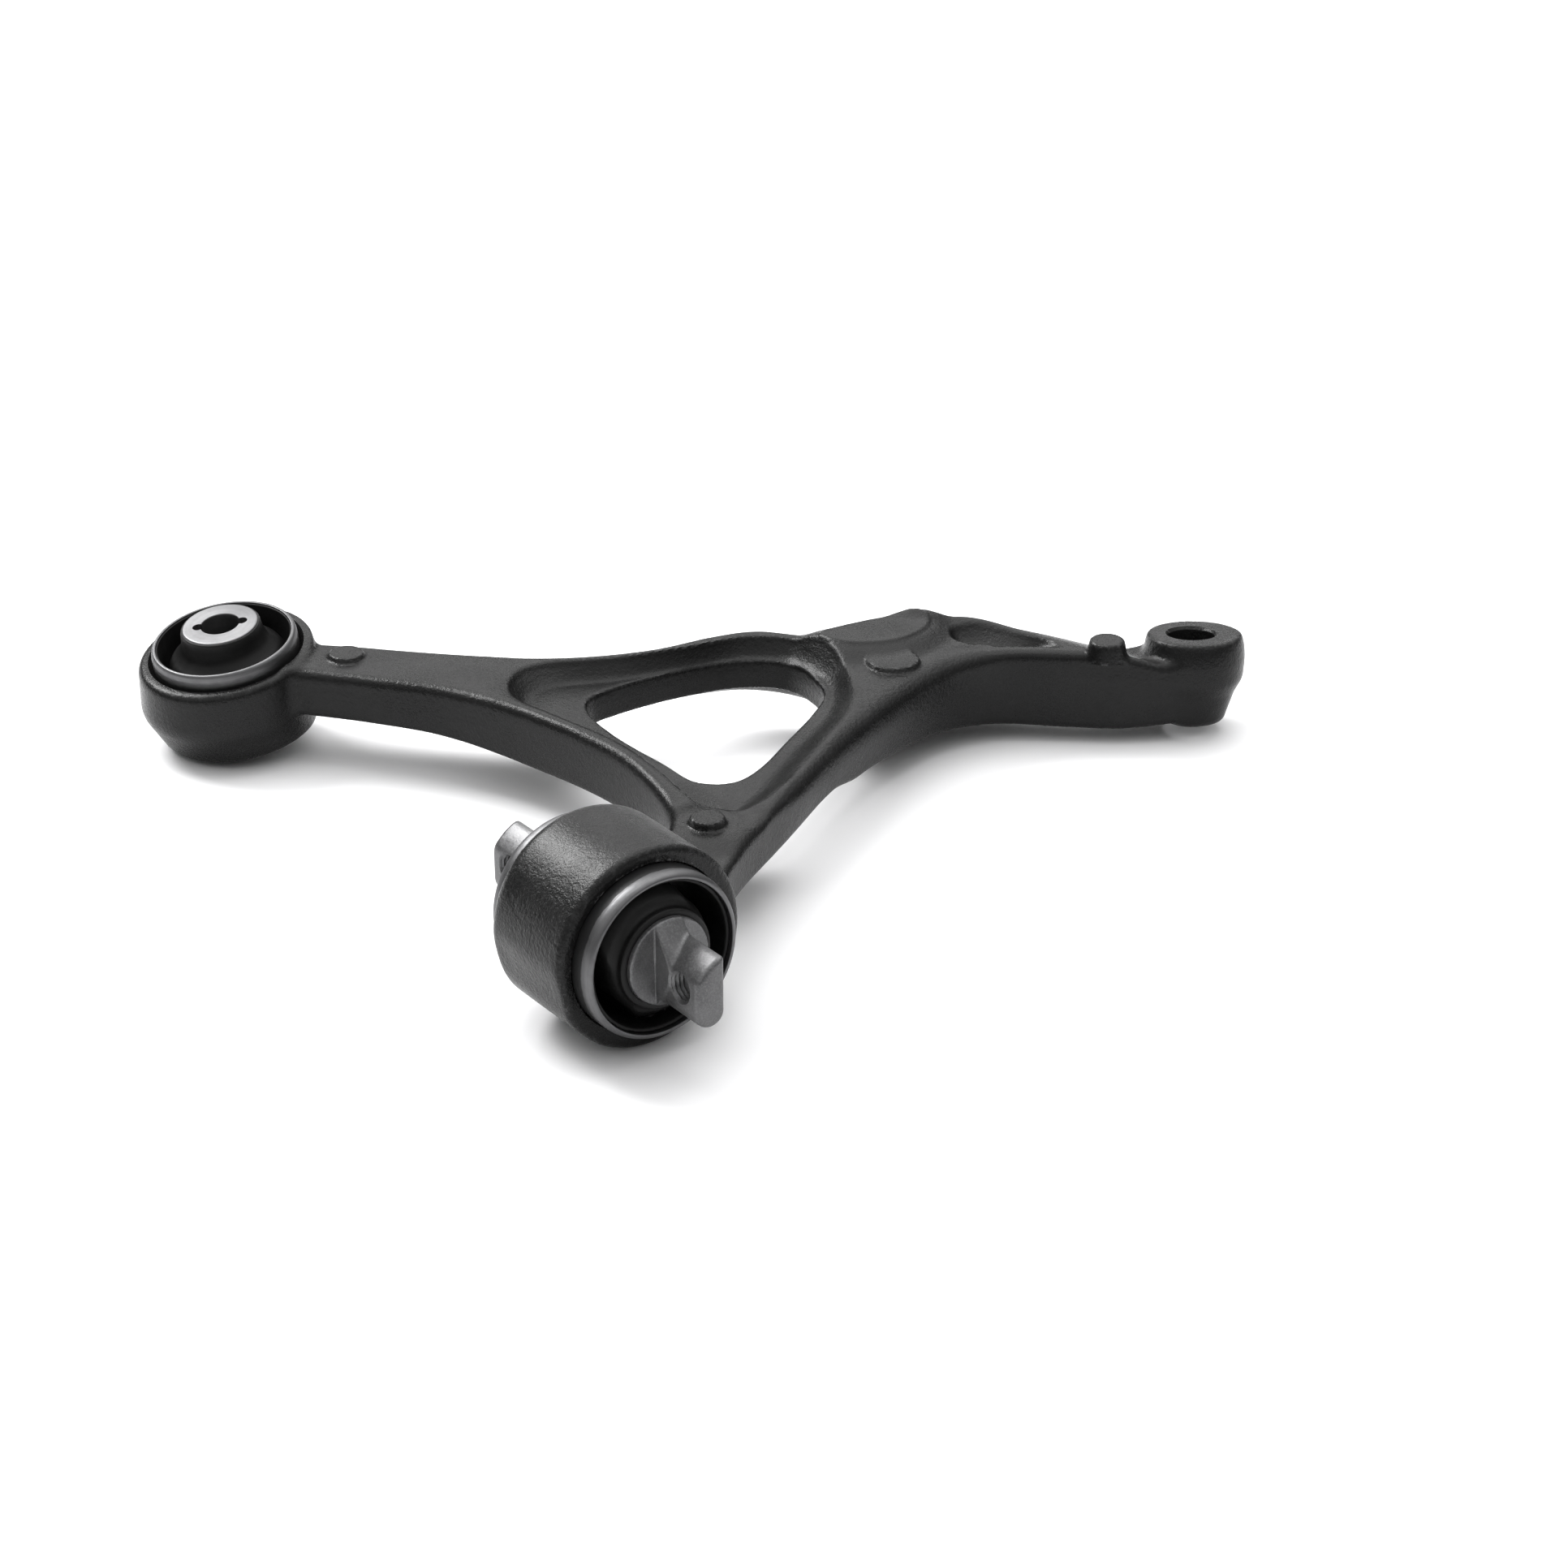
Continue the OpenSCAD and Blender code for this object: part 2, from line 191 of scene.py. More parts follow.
class PlanField:
    """Signed distance to a loop in plan, kept on a lightly blurred 1 mm grid and read back smoothly.

    The loop runs smoothly through the stations, or straight between them where steps is 0.
    """

    LO, HI = (-345, -55), (55, 385)
    BLUR = (1, 6, 15, 20, 15, 6, 1)

    def __init__(self, stations, steps=12):
        gx = np.arange(self.LO[0], self.HI[0] + 1.0)
        gy = np.arange(self.LO[1], self.HI[1] + 1.0)
        loop = smooth_loop(stations, steps) if steps else np.asarray(stations, float)
        grid = loop_distance(loop, *np.meshgrid(gx, gy, indexing="ij"))
        for axis in (0, 1):
            padded = np.pad(grid, [(3, 3) if a == axis else (0, 0) for a in (0, 1)], mode="edge")
            n = grid.shape[axis]
            shifted = [np.take(padded, range(i, i + n), axis) for i in range(len(self.BLUR))]
            grid = sum(w / sum(self.BLUR) * part for w, part in zip(self.BLUR, shifted))
        self.grid = grid

    @staticmethod
    def weights(t):
        """Weights of four neighbours along a line, for a smooth reading at t between the middle two."""
        return (
            ((-0.5 * t + 1.0) * t - 0.5) * t,
            (1.5 * t - 2.5) * t * t + 1.0,
            ((-1.5 * t + 2.0) * t + 0.5) * t,
            (0.5 * t - 0.5) * t * t,
        )

    def __call__(self, x, y):
        x, y = np.broadcast_arrays(x, y)
        u = np.clip(x - self.LO[0], 1, self.grid.shape[0] - 3)
        v = np.clip(y - self.LO[1], 1, self.grid.shape[1] - 3)
        i, j = np.floor(u).astype(int), np.floor(v).astype(int)
        wu, wv = self.weights(u - i), self.weights(v - j)
        out = 0.0
        for a in range(4):
            row = 0.0
            for b in range(4):
                row = row + wv[b] * self.grid[i + a - 1, j + b - 1]
            out = out + wu[a] * row
        return out


def smin(a, b, k):
    """The lesser of two fields, blended over k."""
    h = np.clip(0.5 + 0.5 * (b - a) / k, 0, 1)
    return b + (a - b) * h - k * h * (1 - h)


def smax(a, b, k):
    """The greater of two fields, blended over k."""
    return -smin(-a, -b, k)


def ease(a, b, v):
    """0 at a, 1 at b, smooth between."""
    t = np.clip((v - a) / (b - a), 0, 1)
    return t * t * (3 - 2 * t)


def leaned(centre, lean):
    """A leaned frame: its rotation, first about X and then about Y by the lean in degrees, and its centre."""
    m = Matrix.Rotation(math.radians(lean[1]), 3, "Y") @ Matrix.Rotation(math.radians(lean[0]), 3, "X")
    return np.array(m), np.asarray(centre, float)


def from_axis(leaned_frame, x, y, z):
    """Row-frame points in a leaned frame: their distance from its axis, and their height along it."""
    m, c = leaned_frame
    dx, dy, dz = x - c[0], y - c[1], z - c[2]
    u = m[0, 0] * dx + m[1, 0] * dy + m[2, 0] * dz
    v = m[0, 1] * dx + m[1, 1] * dy + m[2, 1] * dz
    w = m[0, 2] * dx + m[1, 2] * dy + m[2, 2] * dz
    return np.sqrt(u * u + v * v + 1e-9), w


REAR, BALL = leaned(REAR_C, REAR_LEAN), leaned(BALL_C, BALL_LEAN)
REAR_AXIS = tuple(REAR[0][:, 2])
plan = {name: PlanField(loop) for name, loop in (
    ("outline", OUTLINE), ("window", WINDOW), ("dish", DISH), ("dish_floor", DISH_FLOOR), ("under", UNDER),
    ("hump", HUMP), ("channel", CHANNEL))}
plan["channel_floor"] = PlanField(CHANNEL_FLOOR, 0)


def boss_radius(depth):
    """The boss's barrel profile, smoothed between its stations."""
    fine = np.linspace(BOSS_DEPTHS[0], BOSS_DEPTHS[-1], 400)
    r = np.interp(fine, BOSS_DEPTHS, BOSS_RADII)
    kernel = np.hanning(15)
    r = np.convolve(np.pad(r, 7, mode="edge"), kernel / kernel.sum(), mode="valid")
    return np.interp(depth, fine, r)


def loft(outer, inner, quick=0.5):
    """0 at the outer loop to 1 at the inner one, however wide the way between; quick steepens its start."""
    a, b = np.maximum(-outer, 0), np.maximum(inner, 0)
    t = a / (a + b + 1e-6)
    return (1 - quick) * t * t * (3 - 2 * t) + quick * ease(0, 0.25, t) * t * (2 - t)


def pad(x, y, h, cx, cy, r, top):
    """A round pad with an eased edge, sunk a little into the casting, as a field."""
    disc = smax(np.hypot(x - cx, y - cy) - r - 0.12 * np.maximum(top - h, 0), h - top, 1.2)
    return smax(disc, top - 12 - h, 1.0)


def top_skin(x, y, outline, dish, hump):
    """Height of the casting's top: a rim round the dish, with the hump and the channel of the outer limb."""
    # the rim falls along the outer limb to the ball boss and, on the near side, to the front housing
    lean = y - 0.35 * (x + 60)
    top = RIM_Z - BOSS_STEP * ease(250, 290, lean) - BOSS_FALL * ease(300, 334, lean)
    near = 1 - ease(84, 100, y)
    at_pad = ease(26, 10, np.hypot(x - NEAR_PAD[0], y - NEAR_PAD[1]))
    top = top - NEAR_FALL * ease(-110, -60, x) * near * (1 - 0.8 * at_pad)
    # the near limb's rim is crested between its edge and the dish
    across = np.clip(outline / (outline - dish - 1e-6), 0, 1) * (dish > 0) * (outline < 0)
    top = top + NEAR_CREST * across * (1 - across) * near * (1 - ease(-70, -50, x))
    # the dish, with a gentler start on its outboard side
    quick = 0.5 - 0.42 * ease(-136, -104, x) * ease(112, 140, y)
    top = top + (WEB_TOP_Z - RIM_Z) * loft(dish, plan["dish_floor"](x, y), quick)
    # the hump, the channel beyond it, and a low crest along the far edge beside them
    top = top + HUMP_RISE * ease(13, -1, hump) + HUMP_STEP * ease(1.0, -1.0, hump)
    top = top - CHANNEL_DEPTH * loft(plan["channel"](x, y), plan["channel_floor"](x, y))
    far = ease(-14, -2, outline) * ease(-100, -120, x)
    return top + FAR_CREST * far * ease(238, 258, y) * (1 - ease(272, 290, y))


def bottom_skin(x, y, under):
    """Height of the casting's underside, with its recess round the window."""
    # deeper towards the ball boss, shallower along the rear leg and beside the front housing
    leg = (1 - ease(-235, -150, x)) * (1 - ease(100, 130, y))
    bottom = -22.5 - 12.0 * ease(140, 305, y) + 2.0 * ease(300, 335, y)
    bottom = bottom + 4.0 * leg + 4.0 * ease(-110, -80, x) * (1 - ease(150, 174, y))
    return bottom + (WEB_BOTTOM_Z - bottom) * ease(0, 9, -under)


def front_housing(x, y, h):
    """A level drum with two flats."""
    tube = smax(np.hypot(y - HOUSING_Y, h + HOUSING_DROP) - FRONT_HOUSING_R, x - FRONT_FACE_X, 3.2)
    tube = smax(tube, FRONT_BACK_X - x, 6.5)
    for degrees, at in HOUSING_FLATS:
        a = math.radians(degrees)
        tube = smax(tube, -y * math.cos(a) - h * math.sin(a) - at, 0.8)
    return tube


def rear_housing(x, y, z):
    """An upright drum, its top and its tapered foot turned about the bush's leaned axis."""
    r, w = from_axis(REAR, x, y, z)
    shift_x, shift_y = REAR_HOUSING_SHIFT
    drum = np.hypot(x - REAR_C[0] - shift_x, y - REAR_C[1] - shift_y) - REAR_HOUSING_R
    # 0.9187 is the cosine of the taper, so that the foot's field is a true distance
    foot = (r - REAR_FOOT_R - REAR_FOOT_TAPER * (w - REAR_HOUSING_BOTTOM)) * 0.9187
    return smax(smax(drum, w - REAR_HOUSING_TOP, 3.5), smax(foot, REAR_HOUSING_BOTTOM - w, 1.6), 2.0)


def casting(x, y, z):
    """The whole casting without its machined bores."""
    h = z - SAG
    outline, window = plan["outline"](x, y), plan["window"](x, y)
    dish, under, hump = plan["dish"](x, y), plan["under"](x, y), plan["hump"](x, y)

    # the near side of the outer limb leans out and rolls over softly, the other edges are tighter
    soft = ease(92, 130, y) * (1 - ease(225, 275, y)) * ease(-128, -98, x)
    wall = outline + 0.03 * np.abs(h + 11) - 3.2 * soft * np.clip((h + 24) / 24, 0, 1)
    body = smax(wall, h - top_skin(x, y, outline, dish, hump), 4.5 + 7.5 * soft)
    body = smax(body, bottom_skin(x, y, under) - h, 3.0)
    body = smax(body, -(window - 0.03 * np.abs(h + 12)), 1.8)

    body = smin(body, front_housing(x, y, h), 4.0)
    body = smin(body, rear_housing(x, y, z), 3.5)

    # ball boss, faced square to its axis
    r, w = from_axis(BALL, x, y, z)
    body = smin(body, smax(r - boss_radius(-w), -BALL_DEPTH - w, 3.0), 5.0)
    body = smax(body, np.where(r < 30, w, -50.0), 1.4)

    for cx, cy, rad, high in PADS:
        body = smin(body, pad(x, y, h, cx, cy, rad, high), 1.6)
    cx, cy, rad, high = STUD
    stud = smax(np.hypot(x - cx, y - cy) - rad - 0.2 * np.maximum(high - h, 0), h - high, 1.4)
    return smin(body, smax(stud, -2.5 - h, 1.0), 2.0)


def front_rubber(x, y, z):
    """Lining of the sleeve and two webs to the pin's body, with a deep void on either side between them."""
    h = z - SAG
    r, along = np.hypot(y, h), np.abs(x - FRONT_BUSH_X)
    half = FRONT_SLEEVE_LEN / 2
    lining = smax(np.abs(r - LINING_R) - LINING_HALF, along - (half - 1.8), 0.8)
    # the webs swell to a soft crest between the sleeve and the pin
    outside, within = np.maximum(r - WEB_CREST_R, 0), np.maximum(WEB_CREST_R - r, 0)
    web = (along - (half - 3.2 - 0.95 * outside**1.15 - 0.10 * within**2)) * 0.75
    # kidney voids either side, narrower near the pin, their middles leaned up on the outboard side
    a = math.radians(VOID_LEAN_DEG)
    u, v = y * math.cos(a) + h * math.sin(a), h * math.cos(a) - y * math.sin(a)
    half_angle = math.radians(23) + math.radians(4) * (r - 20)
    void = smax(np.abs(r - VOID_R) - VOID_HALF, (np.arctan2(np.abs(v), np.abs(u)) - half_angle) * r, 2.5)
    body = smin(smax(web, -void, 3.0), lining, 1.5)
    # a collar climbs the pin's body
    collar = smax(r - COLLAR_R - 0.55 * np.clip(half - 1.2 - along, 0, 4), along - (half + 1.6), 1.2)
    body = smin(body, collar, 3.0)
    body = smax(body, r - (FRONT_SLEEVE_IN_R - 0.02), 0.4)
    return smax(body, PIN_BODY_R - 0.5 - r, 0.4)


def bar_pin(x, y, z):
    """Forged pin: a round body with coned shoulders, and flattened ends milled flat on both sides."""
    # the ends: flat sides, round below, a broad sloping facet on top
    side = np.abs(y) - BAR_T / 2
    round_foot = np.hypot(y, np.minimum(z + BAR_H / 2 - BAR_T / 2, 0)) - BAR_T / 2
    facet = np.hypot(y - FACET_C[0], z - FACET_C[1]) - FACET_R
    bar = smax(smax(side, round_foot, 1.0), smax(facet, z - BAR_H / 2, 1.2), 1.4)
    bar = smax(bar, np.abs(x) - BAR_LEN / 2, 2.0)
    # the body, with a coned shoulder left between the milled sides; 5.404 is the length of (3.4, 4.2)
    r, along = np.hypot(y, z - SAG), np.abs(x - FRONT_BUSH_X)
    end = PIN_BODY_LEN / 2
    faced = smax(r - PIN_BODY_R, along - end, 0.7)
    cone = ((r - PIN_BODY_R) * 3.4 + (along - end) * 4.2) / 5.404
    shoulder = smax(smax(r - PIN_BODY_R, cone, 0.7), side, 0.6)
    return smin(bar, smin(faced, shoulder, 0.4), 1.2)


# ---------------------------------------------------------------- meshes
def gradient(field, p, eps=0.08):
    """The field's slope at each point, from a step of eps mm either way."""
    g = np.empty_like(p)
    for i in range(3):
        step = np.zeros(3)
        step[i] = eps
        a, b = p + step, p - step
        g[:, i] = (field(a[:, 0], a[:, 1], a[:, 2]) - field(b[:, 0], b[:, 1], b[:, 2])) / (2 * eps)
    return g


def new_object(name, data):
    obj = bpy.data.objects.new(name, data)
    bpy.context.scene.collection.objects.link(obj)
    return obj


def mesh_of_field(name, field, low, high, pitch):
    """A mesh of the field's zero surface: sampled, meshed, then every vertex drawn onto the true surface."""
    axes = [np.arange(a, b + pitch, pitch) for a, b in zip(low, high)]
    values = field(axes[0][:, None, None], axes[1][None, :, None], axes[2][None, None, :])
    values = np.broadcast_to(values, [len(a) for a in axes])
    values = np.clip(values, -4 * pitch, 4 * pitch).astype(np.float32)
    grid = vdb.FloatGrid(4 * pitch)
    grid.copyFromArray(np.ascontiguousarray(values))
    points, tris, quads = grid.convertToPolygons(0.0, 0.0)
    p = points.astype(float) * pitch + np.asarray(low, float)
    for _ in range(4):
        f, g = field(p[:, 0], p[:, 1], p[:, 2]), gradient(field, p)
        step = (f / np.maximum((g * g).sum(1), 0.05))[:, None] * g
        length = np.linalg.norm(step, axis=1, keepdims=True)
        p = p - step * np.minimum(1, 0.6 * pitch / np.maximum(length, 1e-9))
    faces = [tuple(q) for q in quads] + [tuple(t) for t in tris]
    mesh = bpy.data.meshes.new(name)
    mesh.from_pydata(p * MM, [], faces)
    mesh.validate()
    obj = new_object(name, mesh)
    bm = bmesh.new()
    bm.from_mesh(mesh)
    bmesh.ops.recalc_face_normals(bm, faces=bm.faces)
    bm.to_mesh(mesh)
    bm.free()
    return obj


def bake_modifiers(obj):
    """Makes the object's modifiers part of its mesh."""
    graph = bpy.context.evaluated_depsgraph_get()
    mesh = bpy.data.meshes.new_from_object(obj.evaluated_get(graph))
    obj.modifiers.clear()
    old, obj.data = obj.data, mesh
    bpy.data.meshes.remove(old)


def cut(obj, *tools):
    """Takes each tool's volume out of obj, and removes the tool."""
    for tool in tools:
        m = obj.modifiers.new("cut", "BOOLEAN")
        m.operation, m.object, m.solver = "DIFFERENCE", tool, "MANIFOLD"
    bake_modifiers(obj)
    for tool in tools:
        bpy.data.objects.remove(tool)


def thin_out(obj, faces):
    """Fewer triangles where the surface is calm."""
    tris = sum(len(f.vertices) - 2 for f in obj.data.polygons)
    if tris > faces:
        m = obj.modifiers.new("thin", "DECIMATE")
        m.ratio = faces / tris
        bake_modifiers(obj)


def shade(obj, angle):
    """Smooth shading with edges sharper than angle left crisp."""
    mesh = obj.data
    mesh.shade_smooth()
    bm = bmesh.new()
    bm.from_mesh(mesh)
    limit = math.radians(angle)
    for e in bm.edges:
        e.smooth = not (len(e.link_faces) == 2 and e.calc_face_angle(0.0) > limit)
    bm.to_mesh(mesh)
    bm.free()


def revolve(name, profile, matrix, segments=192):
    """Turns a closed (radius, height) profile about the matrix's Z axis."""
    bm = bmesh.new()
    rings = []
    for r, h in profile:
        if r < 1e-6:
            rings.append([bm.verts.new((0, 0, h * MM))])
        else:
            rings.append([
                bm.verts.new((r * MM * math.cos(a), r * MM * math.sin(a), h * MM))
                for a in (2 * math.pi * i / segments for i in range(segments))
            ])
    n = len(rings)
    for i in range(n):
        a, b = rings[i], rings[(i + 1) % n]
        if len(a) == 1 and len(b) == 1:
            continue
        for j in range(segments):
            k = (j + 1) % segments
            if len(a) == 1:
                bm.faces.new((a[0], b[k], b[j]))
            elif len(b) == 1:
                bm.faces.new((a[j], a[k], b[0]))
            else:
                bm.faces.new((a[j], a[k], b[k], b[j]))
    bmesh.ops.recalc_face_normals(bm, faces=bm.faces)
    bm.transform(matrix)
    mesh = bpy.data.meshes.new(name)
    bm.to_mesh(mesh)
    bm.free()
    return new_object(name, mesh)


def rounded(points, radius, steps=4):
    """The closed profile with its corners eased to the radius."""
    out, n = [], len(points)
    for i in range(n):
        a, b, c = (Vector(points[k % n]) for k in (i - 1, i, i + 1))
        u, v = a - b, c - b
        reach = min(radius, 0.45 * u.length, 0.45 * v.length)
        if reach < 1e-3 or b.x < 1e-6:
            out.append(tuple(b))
            continue
        p, q = b + u.normalized() * reach, b + v.normalized() * reach
        for k in range(steps + 1):
            t = k / steps
            out.append(tuple(p * (1 - t) ** 2 + b * 2 * t * (1 - t) + q * t * t))
    return out


def placed(leaned_frame, at=(0, 0, 0)):
    """4x4 matrix of a leaned frame, in metres, shifted by at (mm) in that frame."""
    m, c = leaned_frame
    rot = Matrix([list(row) for row in m]).to_4x4()
    return Matrix.Translation(Vector(c) * MM) @ rot @ Matrix.Translation(Vector(at) * MM)


def along_pin(x, z):
    """Matrix whose Z axis runs along the bar pin, from x at height z."""
    return Matrix.Translation((x * MM, 0, z * MM)) @ Matrix.Rotation(math.radians(90), 4, "Y")


def threaded_plug(name, matrix, radius, length, pitch, depth):
    """A screw-shaped cutting tool, closed at both ends."""
    segments = 96
    per_pitch = 8
    rows = int(length / pitch * per_pitch) + 1
    bm = bmesh.new()
    rings = []
    for i in range(rows):
        h = -length / 2 + length * i / (rows - 1)
        ring = []
        for j in range(segments):
            a = 2 * math.pi * j / segments
            phase = (h / pitch - j / segments) % 1.0
            cut_in = depth * abs(2 * phase - 1)
            r = (radius - cut_in) * MM
            ring.append(bm.verts.new((r * math.cos(a), r * math.sin(a), h * MM)))
        rings.append(ring)
    for a, b in zip(rings, rings[1:]):
        for j in range(segments):
            k = (j + 1) % segments
            bm.faces.new((a[j], a[k], b[k], b[j]))
    bm.faces.new(list(reversed(rings[0])))
    bm.faces.new(rings[-1])
    bmesh.ops.recalc_face_normals(bm, faces=bm.faces)
    bm.transform(matrix)
    mesh = bpy.data.meshes.new(name)
    bm.to_mesh(mesh)
    bm.free()
    return new_object(name, mesh)


# ---------------------------------------------------------------- materials
class Nodes:
    """A small helper for building one Principled material."""

    def __init__(self, name):
        self.mat = bpy.data.materials.new(name)
        self.mat.use_nodes = True
        self.tree = self.mat.node_tree
        self.bsdf = self.tree.nodes["Principled BSDF"]
        self.coords = self.tree.nodes.new("ShaderNodeTexCoord").outputs["Object"]

    def add(self, kind, inputs=None, **props):
        node = self.tree.nodes.new(kind)
        for key, value in props.items():
            setattr(node, key, value)
        for key, value in (inputs or {}).items():
            if hasattr(value, "is_output"):
                self.tree.links.new(value, node.inputs[key])
            else:
                node.inputs[key].default_value = value
        return node

    def noise(self, scale, detail=3.0, rough=0.5, distort=0.0, vector=None):
        """Noise through the piece's own coordinates, or through the vector if one is given."""
        return self.add("ShaderNodeTexNoise", {
            "Vector": self.coords if vector is None else vector,
            "Scale": scale, "Detail": detail, "Roughness": rough, "Distortion": distort,
        }).outputs["Fac"]

    def ramp(self, fac, low, high, a, b):
        """Maps fac from low..high to a..b, as a value."""
        return self.add("ShaderNodeMapRange", {
            "Value": fac, "From Min": low, "From Max": high, "To Min": a, "To Max": b,
        }).outputs[0]

    def colour(self, fac, stops):
        """Runs fac through a ramp of (position, grey or colour) stops."""
        node = self.add("ShaderNodeValToRGB", {"Fac": fac})
        ramp = node.color_ramp
        for i, (at, value) in enumerate(stops):
            e = ramp.elements[i] if i < 2 else ramp.elements.new(at)
            e.position = at
            e.color = (*value, 1) if isinstance(value, tuple) else (value, value, value, 1)
        return node.outputs["Color"]

    def mix(self, fac, a, b):
        """Colour a, going over to colour b as fac rises."""
        node = self.add("ShaderNodeMix", data_type="RGBA")
        for i, v in ((0, fac), (6, a), (7, b)):
            if hasattr(v, "is_output"):
                self.tree.links.new(v, node.inputs[i])
            else:
                node.inputs[i].default_value = v if i == 0 else (*v, 1)
        return node.outputs[2]

    def math(self, op, a, b=0.0):
        node = self.add("ShaderNodeMath", operation=op)
        for i, v in ((0, a), (1, b)):
            if hasattr(v, "is_output"):
                self.tree.links.new(v, node.inputs[i])
            else:
                node.inputs[i].default_value = v
        return node.outputs[0]

    def bump(self, height, distance, strength, under=None):
        """A bump of the given depth in metres, over the normal of the one under it."""
        inputs = {"Height": height, "Distance": distance, "Strength": strength}
        if under is not None:
            inputs["Normal"] = under
        return self.add("ShaderNodeBump", inputs).outputs[0]

    def set(self, **sockets):
        """Fills the shader's sockets by short name, and returns the material."""
        names = {"colour": "Base Color", "rough": "Roughness", "normal": "Normal", "metal": "Metallic",
                 "specular": "Specular IOR Level", "aniso": "Anisotropic"}
        for key, value in sockets.items():
            socket = self.bsdf.inputs[names[key]]
            if hasattr(value, "is_output"):
                self.tree.links.new(value, socket)
            else:
                socket.default_value = (*value, 1) if isinstance(value, tuple) else value
        return self.mat


def paint_material():
    """Satin black paint over a sand-cast skin: grain, soft waviness, dust, and sharp edges made lighter,
    partly as rubbed paint and partly as a painted highlight.
    """
    n = Nodes("black_paint")
    grain = n.noise(1400, 3, 0.6)
    orange = n.noise(560, 3, 0.62)
    waves = n.noise(55, 3, 0.5)
    patches = n.noise(26, 5, 0.6)
    coarse = n.ramp(n.noise(17, 3, 0.6), 0.42, 0.62, 0.35, 1.0)
    height = n.bump(waves, 0.0009, 0.5)
    height = n.bump(n.math("MULTIPLY", orange, coarse), 0.00046, 1.0, height)
    height = n.bump(grain, 0.00012, 1.0, height)
    tone = n.colour(patches, [(0.3, 0.007), (0.7, 0.012)])
    dust = n.ramp(n.noise(140, 6, 0.7), 0.55, 0.8, 0.0, 0.25)
    tone = n.mix(dust, tone, (0.034, 0.034, 0.035))
    # sharp edges are painted a lighter grey: partly rubbed paint, partly a painted highlight
    edge = n.add("ShaderNodeNewGeometry").outputs["Pointiness"]
    edge_wear_and_highlight = n.math("MULTIPLY", n.ramp(edge, 0.52, 0.58, 0.0, 1.0), n.ramp(orange, 0.48, 0.6, 0.0, 1.0))
    tone = n.mix(edge_wear_and_highlight, tone, (0.11, 0.11, 0.112))
    rough = n.math("ADD", n.ramp(patches, 0.3, 0.7, 0.25, 0.32), n.ramp(grain, 0.3, 0.7, -0.03, 0.04))
    return n.set(colour=tone, rough=rough, normal=height, specular=0.35)


def basis(axis):
    """Three unit vectors with axis last."""
    z = Vector(axis).normalized()
    x = z.orthogonal().normalized()
    return x, z.cross(x), z


def turned_metal(name, tone, rough, centre, axis, depth=0.00004, dark_band=None):
    """Bare metal with fine turning marks round an axis.

    dark_band is a black, non-metallic band on it: beyond a radius, from low to high along the axis, in
    metres.
    """
    n = Nodes(name)
    m = Matrix(basis(axis)).to_4x4() @ Matrix.Translation(-Vector(centre) * MM)
    # the point in the part's own frame: across, across, along
    parts = []
    for row in m[:3]:
        dot = n.add("ShaderNodeVectorMath", {0: n.coords, 1: row[:3]}, operation="DOT_PRODUCT")
        parts.append(n.math("ADD", dot.outputs["Value"], row[3]))
    radius = n.math("SQRT", n.math("ADD", n.math("POWER", parts[0], 2.0), n.math("POWER", parts[1], 2.0)))
    lines = n.add("ShaderNodeCombineXYZ", {"X": radius, "Y": parts[2], "Z": 0.0}).outputs[0]
    marks = n.noise(2600, 3, 0.6, vector=lines)
    bands = n.noise(380, 2, vector=lines)
    spots = n.noise(160, 5, 0.65)
    grain = n.noise(1800, 3, 0.6)
    shade_of = n.math("ADD", n.ramp(bands, 0.35, 0.65, -0.05, 0.05), n.ramp(spots, 0.4, 0.75, 0.0, -0.09))
    colour = n.colour(n.math("ADD", shade_of, 0.5), [(0.3, tuple(c * 0.72 for c in tone)), (0.62, tone)])
    dull = n.ramp(spots, 0.5, 0.75, 0.0, 0.12)
    roughness = n.math("ADD", n.ramp(marks, 0.3, 0.7, rough - 0.06, rough + 0.08), dull)
    normal = n.bump(marks, depth, 0.6)
    normal = n.bump(grain, 0.00003, 0.5, normal)
    metal = 1.0
    if dark_band:
        # black over the band, ending in a ragged line
        wander = n.ramp(n.noise(220, 4, 0.6), 0.3, 0.7, -0.0004, 0.0004)
        along = n.math("ADD", parts[2], wander)
        beyond, low, high = dark_band
        band = n.math("MULTIPLY", n.ramp(along, low, low + 0.0005, 0.0, 1.0),
                      n.ramp(along, high - 0.0005, high, 1.0, 0.0))
        band = n.math("MULTIPLY", band, n.ramp(radius, beyond, beyond + 0.0002, 0.0, 1.0))
        colour = n.mix(band, colour, (0.012, 0.012, 0.0125))
        metal = n.ramp(band, 0.0, 1.0, metal, 0.0)
    return n.set(colour=colour, rough=roughness, normal=normal, metal=metal, aniso=0.3)


def forged_material():
    """Grey phosphated forging: matte, mottled, with a fine shot-blasted grain."""
    n = Nodes("forged_grey")
    grain = n.noise(1300, 5, 0.65)
    pits = n.noise(420, 3, 0.5)
    patches = n.noise(70, 5, 0.6)
    normal = n.bump(pits, 0.00016, 0.5)
    normal = n.bump(grain, 0.00008, 0.7, normal)
    tone = n.colour(patches, [(0.3, (0.10, 0.10, 0.102)), (0.68, (0.165, 0.165, 0.167))])
    tone = n.mix(n.ramp(grain, 0.45, 0.7, 0.0, 0.4), tone, (0.28, 0.28, 0.283))
    rough = n.ramp(grain, 0.3, 0.7, 0.30, 0.44)
    return n.set(colour=tone, rough=rough, normal=normal, metal=0.55, specular=0.5)


def rubber_material():
    """Moulded black rubber with a faint bloom."""
    n = Nodes("moulded_rubber")
    grain = n.noise(1600, 3, 0.6)
    flow = n.noise(90, 4, 0.55, distort=0.6)
    normal = n.bump(flow, 0.0004, 0.35)
    normal = n.bump(grain, 0.00005, 0.5, normal)
    tone = n.colour(flow, [(0.3, 0.006), (0.72, 0.012)])
    rough = n.ramp(flow, 0.3, 0.7, 0.42, 0.58)
    return n.set(colour=tone, rough=rough, normal=normal, specular=0.36)


